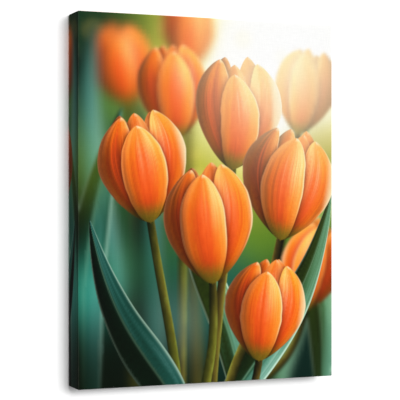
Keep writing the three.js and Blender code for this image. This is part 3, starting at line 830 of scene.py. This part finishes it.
class Graph:
    """A material's nodes, with a plain way to add and join them."""

    def __init__(self, name, **settings):
        self.material = bpy.data.materials.new(name)
        self.material.use_nodes = True
        self.tree = self.material.node_tree
        self.tree.nodes.clear()
        self.shader = self.node("ShaderNodeBsdfPrincipled", **settings)
        self.output = self.node("ShaderNodeOutputMaterial", Surface=self.shader.outputs["BSDF"])

    def node(self, kind, properties=None, **inputs):
        """A new node. The names of its inputs have _ in place of spaces."""
        made = self.tree.nodes.new(kind)
        for name, value in (properties or {}).items():
            setattr(made, name, value)
        for name, value in inputs.items():
            self.put(value, made.inputs[name.replace("_", " ")])
        return made

    def put(self, value, socket):
        """Sets a socket, or joins another one to it."""
        if isinstance(value, bpy.types.NodeSocket):
            self.tree.links.new(value, socket)
        else:
            socket.default_value = value

    def math(self, operation, *values, kind="ShaderNodeMath"):
        """One step of arithmetic."""
        made = self.node(kind, {"operation": operation})
        for value, socket in zip(values, made.inputs):
            self.put(value, socket)
        return made.outputs[0]

    def vector(self, operation, *values):
        """The same for vectors."""
        return self.math(operation, *values, kind="ShaderNodeVectorMath")

    def place(self, scale=(1, 1, 1)):
        """Places on the object, in metres, times a scale for each axis."""
        return self.vector("MULTIPLY", self.node("ShaderNodeTexCoord").outputs["Object"], scale)

    def noise(self, place, scale, detail=2.0, roughness=0.5, output="Fac"):
        """Noise with about that many lumps to each unit of the place."""
        made = self.node("ShaderNodeTexNoise", Vector=place, Scale=scale, Detail=detail, Roughness=roughness)
        return made.outputs[output]

    def ramp(self, share, *stops):
        """A colour that runs through (place, colour) stops."""
        made = self.node("ShaderNodeValToRGB", Fac=share)
        elements = made.color_ramp.elements
        for _ in stops[2:]:
            elements.new(0.5)
        for element, (place, colour) in zip(elements, stops):
            element.position = place
            element.color = (*colour, 1)
        return made.outputs["Color"]

    def within(self, distance, far, near, kept):
        """1 nearer than near, 0 past far, times a number."""
        made = self.node("ShaderNodeMapRange", {"interpolation_type": "SMOOTHSTEP"},
                         Value=distance, From_Min=far, From_Max=near)
        return self.math("MULTIPLY", made.outputs["Result"], kept)

    def between(self, share, low, high):
        """A number that runs from low to high."""
        return self.node("ShaderNodeMapRange", Value=share, To_Min=low, To_Max=high).outputs["Result"]

    def blend(self, share, low, high):
        """A colour that runs from low to high."""
        made = self.node("ShaderNodeMix", {"data_type": "RGBA"})
        for value, socket in zip((share, low, high), (made.inputs[0], made.inputs[6], made.inputs[7])):
            self.put(value, socket)
        return made.outputs[2]

    def tint(self, colour, factor):
        """A colour times a number."""
        made = self.node("ShaderNodeVectorMath", {"operation": "SCALE"}, Scale=factor)
        self.put(colour, made.inputs[0])
        return made.outputs[0]

    def finish(self, colour, roughness=None):
        """Puts the colour, and a roughness if it varies, on the shader."""
        self.put(colour, self.shader.inputs["Base Color"])
        if roughness is not None:
            self.put(roughness, self.shader.inputs["Roughness"])
        return self.material

    def bump(self, height, distance, strength):
        """Puts fine relief on the shader."""
        made = self.node("ShaderNodeBump", Height=height, Distance=distance, Strength=strength)
        self.put(made.outputs["Normal"], self.shader.inputs["Normal"])


WEAVE = 0.00075  # from one thread of the weave to the next
SLUBS, SLUB_PUSH = 260.0, 0.5  # thick places to a metre, and how far they push a thread, in threads
UNEVEN = ((900, 90, 1), (90, 900, 1))  # thick places in the upright and in the level threads, to a metre
WEAVE_MEAN, WEAVE_SWING = 0.65, 0.35  # a thread's mean height, and how far it rises and dips from it
UNEVEN_HEIGHT = 0.6  # how much higher a thick thread stands
WEAVE_DEPTH, WEAVE_STRENGTH = 0.00022, 0.55
WEAVE_GAP_SHADE, WEAVE_RAISED_HIGHLIGHT = 0.83, 0.10  # painted shade: the ink's tone in the gaps between threads; and painted highlight: how much lighter the raised threads, and the thick ones, are
CANVAS_ROUGH = (0.5, 0.68)


def canvas_material():
    """Plain-woven cotton with the picture printed on it."""
    g = Graph("Printed canvas", Specular_IOR_Level=0.05)
    ink = g.node("ShaderNodeVertexColor", {"layer_name": "Picture"}).outputs["Color"]
    sheet = g.node("ShaderNodeUVMap", {"uv_map": "Sheet"}).outputs["UV"]
    slubs = g.noise(sheet, SLUBS, 3.0)
    split = g.node("ShaderNodeSeparateXYZ", Vector=sheet)
    across, up = (g.math("DIVIDE", split.outputs[axis], WEAVE) for axis in ("X", "Y"))
    warp_turn, weft_turn = (g.math("MULTIPLY_ADD", slubs, SLUB_PUSH, count) for count in (across, up))
    warp_wave, weft_wave, up_wave = (g.math("SINE", g.math("MULTIPLY", turn, math.pi))
                                     for turn in (warp_turn, weft_turn, up))
    wave = g.math("MULTIPLY", warp_wave, up_wave)
    threads = []
    for thread_wave, swing in ((warp_wave, WEAVE_SWING), (weft_wave, -WEAVE_SWING)):
        height = g.math("MULTIPLY_ADD", wave, swing, WEAVE_MEAN)
        threads.append(g.math("MULTIPLY", g.math("ABSOLUTE", thread_wave), height))
    weave = g.math("MAXIMUM", *threads)
    thick = g.math("ADD", *(g.noise(g.vector("MULTIPLY", sheet, scale), 1.0) for scale in UNEVEN))
    # Painted shade and highlight: the ink is darker in the weave's gaps and lighter on its raised and thick
    # threads, on top of the bump.
    light = g.math("MULTIPLY_ADD", weave, WEAVE_RAISED_HIGHLIGHT, WEAVE_GAP_SHADE)
    light = g.math("MULTIPLY_ADD", thick, WEAVE_RAISED_HIGHLIGHT, light)
    g.bump(g.math("MULTIPLY_ADD", thick, UNEVEN_HEIGHT, weave), WEAVE_DEPTH, WEAVE_STRENGTH)
    return g.finish(g.tint(ink, light), g.between(thick, *CANVAS_ROUGH))


GRAIN_STRETCH = 0.045  # the pattern's scale along the grain, which draws it out
GRAIN_STRAY, GRAIN_STRAYS = 0.012, 34.0  # how far the rings stray, and how often to a metre
GRAIN_SLANT = 0.6  # how the rings lean through the thickness
BROAD, STREAKS = 60.0, 900.0  # broad shades and fine streaks, to a metre
PINE_RING, BEECH_RING = 0.0035, 0.0016  # from one growth ring to the next
LATE_POWER = 3.0  # how narrow a ring's dark part is
LATE_TONE, STREAK_TONE, BROAD_TONE = 0.42, 0.40, 0.35  # how much each darkens the wood
WOOD_ROUGH = (0.5, 0.75)
WOOD_DEPTH, WOOD_STRENGTH, LATE_HEIGHT = 0.00015, 0.5, 0.3
KNOTS = 16.0  # places for a knot, to a metre
KNOTS_SHIFT = 12.7  # of the whole scatter, in spacings of those places
KNOTS_LEFT_OUT = 0.45  # the share of those places that stay clear
KNOT_REACH = 0.25  # how far round a knot the grain bends, in spacings of those places
KNOT_BEND = 0.009  # and by how much, in metres
KNOT_UNEVEN = 0.03  # how far its outline strays, in the same spacings
KNOT_OUTER, KNOT_INNER = 0.26, 0.19  # where the knot itself starts and is whole, as shares of the reach
KNOT_RINGS = 90.0  # rings to a spacing
KNOT_DARK = 0.55


def wood_material(name, grain_axis, ring, pale, mid, dark):
    """Planed wood whose grain runs along one axis of the object, 0 for X and 2 for Z."""
    g = Graph(name)
    stretch = [1.0, 1.0, 1.0]
    stretch[grain_axis] = GRAIN_STRETCH
    across = g.place(stretch)
    stray = g.tint(g.noise(across, GRAIN_STRAYS, output="Color"), GRAIN_STRAY)
    split = g.node("ShaderNodeSeparateXYZ", Vector=g.vector("ADD", across, stray))
    over_grain = split.outputs["Z"] if grain_axis == 0 else split.outputs["X"]
    broad = g.noise(across, BROAD)
    streaks = g.noise(across, STREAKS, 4.0, 0.6)

    face = g.node("ShaderNodeSeparateXYZ", Vector=g.place((KNOTS, 1, KNOTS)))
    shifted = g.math("ADD", face.outputs["X"], KNOTS_SHIFT)
    flat = g.node("ShaderNodeCombineXYZ", X=shifted, Y=face.outputs["Z"]).outputs[0]
    knots = g.node("ShaderNodeTexVoronoi", {"voronoi_dimensions": "2D"}, Vector=flat, Scale=1.0)
    distance = g.math("MULTIPLY_ADD", broad, KNOT_UNEVEN, knots.outputs["Distance"])
    chance = g.node("ShaderNodeSeparateColor", Color=knots.outputs["Color"]).outputs[0]
    kept = g.math("GREATER_THAN", chance, KNOTS_LEFT_OUT)
    near_knot = g.within(distance, KNOT_REACH, 0.0, kept)
    knot = g.within(distance, KNOT_REACH * KNOT_OUTER, KNOT_REACH * KNOT_INNER, kept)

    grown = g.math("MULTIPLY_ADD", split.outputs["Y"], GRAIN_SLANT, over_grain)
    grown = g.math("MULTIPLY_ADD", near_knot, KNOT_BEND, grown)
    late = g.math("POWER", g.math("FRACT", g.math("DIVIDE", grown, ring)), LATE_POWER)
    share = g.math("ADD", g.math("MULTIPLY", late, LATE_TONE), g.math("MULTIPLY", streaks, STREAK_TONE))
    share = g.math("MULTIPLY_ADD", broad, BROAD_TONE, share)
    plain = g.ramp(share, (0.15, pale), (0.6, mid), (1.0, dark))
    rings = g.math("FRACT", g.math("MULTIPLY", distance, KNOT_RINGS))
    heart = g.ramp(rings, (0.2, mid), (0.9, dark * KNOT_DARK))
    g.bump(g.math("MULTIPLY_ADD", late, LATE_HEIGHT, streaks), WOOD_DEPTH, WOOD_STRENGTH)
    return g.finish(g.blend(knot, plain, heart), g.between(streaks, *WOOD_ROUGH))


METAL_ROUGH = (0.38, 0.60)
FILM, SCRATCHES = 700.0, 900.0  # blotches and scratches, to a metre
FILM_DARK = 0.85
SCRATCH_DULL = 0.4  # how much duller it is where it is scratched
SCRATCH_DEPTH, SCRATCH_STRENGTH = 0.00003, 0.3
FELT_HAIR, FELT_TUFTS = 1800.0, 500.0  # to a metre
FELT_DARK, FELT_PALE = tone(0x3A3733), tone(0x7B756C)
FELT_DEPTH, FELT_STRENGTH = 0.0004, 0.8
TWIST = 3000.0  # of a cotton thread, to a metre
TWIST_DARK = 0.75
TWIST_DEPTH, TWIST_STRENGTH = 0.0001, 0.5


def metal_material(name, colour):
    """Plated metal with fine scratches and a dulled film."""
    g = Graph(name, Metallic=1.0)
    film = g.noise(g.place(), FILM, 4.0, 0.6)
    scratches = g.noise(g.place((1, 1, 12)), SCRATCHES)
    dull = g.math("ADD", film, g.math("MULTIPLY", scratches, SCRATCH_DULL))
    g.bump(scratches, SCRATCH_DEPTH, SCRATCH_STRENGTH)
    return g.finish(g.ramp(film, (0.25, colour * FILM_DARK), (0.7, colour)), g.between(dull, *METAL_ROUGH))


def felt_material():
    """Grey pressed felt."""
    g = Graph("Pressed felt", Roughness=0.95, Specular_IOR_Level=0.15, Sheen_Weight=0.6)
    hair = g.noise(g.place((1, 1, 4)), FELT_HAIR, 6.0, 0.75)
    tufts = g.noise(g.place(), FELT_TUFTS, 3.0)
    g.bump(g.math("ADD", hair, tufts), FELT_DEPTH, FELT_STRENGTH)
    return g.finish(g.ramp(hair, (0.3, FELT_DARK), (0.7, FELT_PALE)))


def thread_material():
    """Raw cotton thread."""
    g = Graph("Cotton thread", Roughness=0.9, Specular_IOR_Level=0.1)
    twist = g.noise(g.place(), TWIST)
    g.bump(twist, TWIST_DEPTH, TWIST_STRENGTH)
    return g.finish(g.ramp(twist, (0.3, RAW_CANVAS * TWIST_DARK), (0.7, RAW_CANVAS)))


# ---- Wood, metal and felt pieces ----

FLAT_ANGLE, EDGE_ANGLE = math.radians(1), math.radians(35)


def dress(names, material, bevel, segments=2):
    """Gives CAD pieces their material, and eases their edges."""
    for name in names:
        piece = NODES[name]
        piece.data.materials.clear()
        piece.data.materials.append(material)
        flat = piece.modifiers.new("Flat faces", "DECIMATE")
        flat.decimate_type = "DISSOLVE"
        flat.angle_limit = FLAT_ANGLE
        ease = piece.modifiers.new("Eased edges", "BEVEL")
        ease.width = bevel
        ease.segments = segments
        ease.limit_method = "ANGLE"
        ease.angle_limit = EDGE_ANGLE


def smooth_object(name, points, faces, material):
    """A smooth-shaded object made of those faces."""
    mesh = bpy.data.meshes.new(name)
    mesh.from_pydata(points, [], faces)
    mesh.polygons.foreach_set("use_smooth", [True] * len(faces))
    mesh.materials.append(material)
    return linked(name, mesh)


PAD_TURN = 96  # faces round a pad
PAD_SOFT = 0.0007  # the radius of its edges
PAD_FUZZ = 0.012  # how uneven its rim is
PAD_TUFTS, PAD_LAYERS = 14, 3000  # lumps to a radian round it, and to a metre through it


def make_pad(node, material, seed):
    """A pressed felt disc with soft edges, in place of a plain one."""
    low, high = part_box(node)
    centre_x, centre_z = (low.x + high.x) / 2, (low.z + high.z) / 2
    radius = (high.x - low.x) / 2
    thick = high.y - low.y
    profile = [(radius * 0.4, 0), (radius * 0.8, 0), (radius - PAD_SOFT, 0)]
    for turn in np.linspace(0.4, math.pi / 2, 4):
        profile.append((radius - PAD_SOFT + PAD_SOFT * math.sin(turn), PAD_SOFT - PAD_SOFT * math.cos(turn)))
    profile += [(r, thick - y) for r, y in profile[::-1]]
    count = len(profile)
    angle = np.linspace(0, 2 * math.pi, PAD_TURN, endpoint=False)[:, None]
    r, y = np.broadcast_to(np.array(profile).T[:, None], (2, PAD_TURN, count))
    r = r * (1 - PAD_FUZZ * noise(angle * PAD_TUFTS, y * PAD_LAYERS, seed))
    points = np.stack([centre_x + r * np.cos(angle), low.y + y, centre_z + r * np.sin(angle)], -1)
    points = [*points.reshape(-1, 3).tolist(), (centre_x, low.y, centre_z), (centre_x, high.y, centre_z)]
    faces = []
    for k in range(PAD_TURN):
        here, after = k * count, (k + 1) % PAD_TURN * count
        faces += [(here + j, after + j, after + j + 1, here + j + 1) for j in range(count - 1)]
        faces.append((len(points) - 2, after, here))
        faces.append((len(points) - 1, here + count - 1, after + count - 1))
    piece = smooth_object(node + "_felt", points, faces, material)
    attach(piece, "root")
    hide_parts(node)


# ---- Loose threads ----

THREAD_RADIUS = 0.00013
THREAD_EVERY = 0.008  # along a cut edge
THREAD_STEPS = 8
THREAD_LEAST, THREAD_MORE = 0.0015, 0.0065  # the shortest one's length, and what the longest adds to it
THREAD_HEADING, THREAD_CURL = 0.35, 1.1  # how much they vary, in radians
THREAD_DROP = 0.0009  # how far from the cloth they take to come down on to the wood
THREAD_ARCH = 0.0006  # how far the loosest one arches up from it
HANGER_CLEAR = 0.03


def thread_path(r, wood_y, cloth_y):
    """A short thread that starts at the cut edge and runs inwards: inward, sideways and y of its points."""
    length = THREAD_LEAST + THREAD_MORE * r.random() ** 2
    heading, curl = r.normal(0, THREAD_HEADING), r.normal(0, THREAD_CURL)
    t = np.linspace(0, 1, THREAD_STEPS)
    step = length / (THREAD_STEPS - 1)
    inward = np.cumsum(np.cos(heading + curl * t)) * step - 2 * step
    sideways = np.cumsum(np.sin(heading + curl * t)) * step
    low = wood_y + THREAD_RADIUS
    y = low + (cloth_y - low) * bell(np.clip(inward, 0, None), THREAD_DROP)
    y = y + THREAD_ARCH * r.random() * np.sin(np.pi * t) ** 2
    return inward, sideways, y


def thread_tube(place, y, first):
    """A tapering four-sided tube along a thread: its points, whose numbers run from first, and its faces."""
    points = []
    run = np.gradient(place, axis=0)
    across = np.stack([-run[:, 1], run[:, 0]], -1) / np.linalg.norm(run, axis=1)[:, None]
    for k in range(THREAD_STEPS):
        thick = THREAD_RADIUS * (1 - 0.5 * k / THREAD_STEPS)
        for turn in np.arange(4) * math.pi / 2:
            x, z = place[k] + across[k] * thick * math.cos(turn)
            points.append((x, y[k] + thick * math.sin(turn), z + CENTRE_Z))
    last = first + 4 * (THREAD_STEPS - 1)
    faces = [(k + j, k + (j + 1) % 4, k + 4 + (j + 1) % 4, k + 4 + j)
             for k in range(first, last, 4) for j in range(4)]
    faces += [(first + 3, first + 2, first + 1, first), (last, last + 1, last + 2, last + 3)]
    return points, faces


def loose_threads(name, material):
    """Threads that have come loose along the cut edges on the back, and lie over on to the bars."""
    r = np.random.default_rng(5)
    wood_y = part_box("bar_top")[1].y
    points, faces = [], []
    for side in (LEFT, TOP, RIGHT, BOTTOM):
        out = OUTWARD[side]
        along = np.array([-out[1], out[0]])
        flat, length = (FLAT_X, FLAT_Z) if out[0] else (FLAT_Z, FLAT_X)
        edge = flat - (CUT - AT_BACK)
        reach = length - FOLD_CLEAR
        for _ in range(round(2 * reach / THREAD_EVERY)):
            start = r.uniform(-reach, reach)
            root = edge * out + start * along
            cloth_y = BACK_Y - CLOTH / 2 + PUFF * float(looseness(*root))
            inward, sideways, y = thread_path(r, wood_y, cloth_y)
            if side == TOP and abs(start) < HANGER_CLEAR:
                continue
            place = root + (cut_stray(*root) - inward)[:, None] * out + sideways[:, None] * along
            tube_points, tube_faces = thread_tube(place, y, len(points))
            points += tube_points
            faces += tube_faces
    return smooth_object(name, points, faces, material)


# ---- The print ----

canvas = cloth_object("canvas_print", picture())
canvas.data.materials.append(canvas_material())
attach(canvas, "root")
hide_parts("canvas")
fringe = loose_threads("loose_threads", thread_material())
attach(fringe, "root")
bars = ["bar_top", "bar_bottom", "bar_left", "bar_right"]

PINE = [PINE_RING, tone(0xEBD0A0), tone(0xD9B177), tone(0xB07F48)]
BEECH = [BEECH_RING, tone(0xDDB98F), tone(0xC99D70), tone(0xA4764C)]
BAR_EASE, KEY_EASE, WIRE_EASE, BRASS_EASE = 0.0005, 0.0003, 0.00012, 0.0001
dress(bars[:2], wood_material("Pine along X", 0, *PINE), BAR_EASE)
dress(bars[2:], wood_material("Pine along Z", 2, *PINE), BAR_EASE)
level_keys, upright_keys, staples = ([name for name in NODES if name.startswith(kind)]
                                     for kind in ("key_level", "key_upright", "staple"))
dress(level_keys, wood_material("Beech along X", 0, *BEECH), KEY_EASE)
dress(upright_keys, wood_material("Beech along Z", 2, *BEECH), KEY_EASE)
dress(staples, metal_material("Galvanised steel", tone(0xD2D4D6)), WIRE_EASE, 1)
hanging = ["hanger", "hanger_nail_left", "hanger_nail_right"]
dress(hanging, metal_material("Plated brass", tone(0xECCB7C)), BRASS_EASE, 1)
felt = felt_material()
make_pad("bumper_left", felt, 1)
make_pad("bumper_right", felt, 2)

# ---- Wall, floor, light and camera ----

WALL_REACH, FLOOR_REACH = 8.0, 30.0
FLOOR_DROP = 1.5  # the floor, below the nail
FLOOR_GLOW = 0.35
AMBIENT = 0.37  # how strongly the room lights the print


def plane(name, corners, material):
    """A part of the stage that throws no light back on the print."""
    mesh = bpy.data.meshes.new(name)
    mesh.from_pydata(corners, [], [(0, 1, 2, 3)])
    mesh.materials.append(material)
    made = linked(name, mesh)
    made.visible_diffuse = False
    made.visible_glossy = False
    return made


def wall_material():
    """White paint, seen from the room's side only."""
    g = Graph("Wall paint", Roughness=0.9, Specular_IOR_Level=0.0)
    clear = g.node("ShaderNodeBsdfTransparent").outputs["BSDF"]
    behind = g.node("ShaderNodeNewGeometry").outputs["Backfacing"]
    both = g.node("ShaderNodeMixShader", Fac=behind)
    g.put(g.shader.outputs["BSDF"], both.inputs[1])
    g.put(clear, both.inputs[2])
    g.put(both.outputs["Shader"], g.output.inputs["Surface"])
    return g.finish(g.ramp(g.noise(g.place(), 3.0), (0.0, (0.78,) * 3), (1.0, (0.80,) * 3)))


def floor_material():
    """A pale floor that glows a little, as a lit one does."""
    g = Graph("Pale floor", Roughness=0.8, Emission_Color=(1, 1, 1, 1), Emission_Strength=FLOOR_GLOW)
    return g.finish(g.ramp(g.noise(g.place(), 2.0), (0.0, (0.80,) * 3), (1.0, (0.84,) * 3)))


def sun(name, strength, azimuth, elevation, spread):
    """Parallel light that comes from a direction: azimuth 0 is from -Y, and 90 from +X."""
    light = bpy.data.lights.new(name, "SUN")
    light.energy = strength * math.pi
    light.angle = math.radians(spread)
    linked(name, light).rotation_euler = (math.radians(90 - elevation), 0, math.radians(azimuth))


wall_corners = [(-WALL_REACH, 0, -FLOOR_DROP), (WALL_REACH, 0, -FLOOR_DROP),
                (WALL_REACH, 0, WALL_REACH), (-WALL_REACH, 0, WALL_REACH)]
wall = plane("wall", wall_corners, wall_material())
wall.visible_shadow = False
floor_corners = [(x * FLOOR_REACH, y * FLOOR_REACH, -FLOOR_DROP)
                 for x, y in ((-1, -1), (1, -1), (1, 1), (-1, 1))]
plane("floor", floor_corners, floor_material())
sun("Right", strength=0.58, azimuth=14.5, elevation=10, spread=19)
sun("Above", strength=0.58, azimuth=0, elevation=16, spread=18)
sun("Back", strength=1.0, azimuth=150, elevation=48, spread=30)

world = bpy.data.worlds.new("Studio")
bpy.context.scene.world = world
world.use_nodes = True
tree = world.node_tree
tree.nodes["Background"].inputs["Color"].default_value = (1, 1, 1, 1)
seen = tree.nodes.new("ShaderNodeLightPath")
level = tree.nodes.new("ShaderNodeMapRange")
level.inputs["To Min"].default_value = AMBIENT
level.inputs["To Max"].default_value = 1.0
tree.links.new(seen.outputs["Is Camera Ray"], level.inputs["Value"])
tree.links.new(level.outputs["Result"], tree.nodes["Background"].inputs["Strength"])

CAMERA_PLACE = (-0.57383, -1.39621, -0.16870)
CAMERA_YAW = 22.46  # degrees to the right of straight at the wall
CAMERA_LENS, CAMERA_SENSOR = 119.6, 36.0  # in mm
camera = linked("Camera", bpy.data.cameras.new("Camera"))
camera.data.sensor_width = CAMERA_SENSOR
camera.data.lens = CAMERA_LENS
camera.location = CAMERA_PLACE
camera.rotation_euler = (math.radians(90), 0, math.radians(-CAMERA_YAW))
bpy.context.scene.camera = camera
bpy.context.scene.view_settings.view_transform = "Standard"
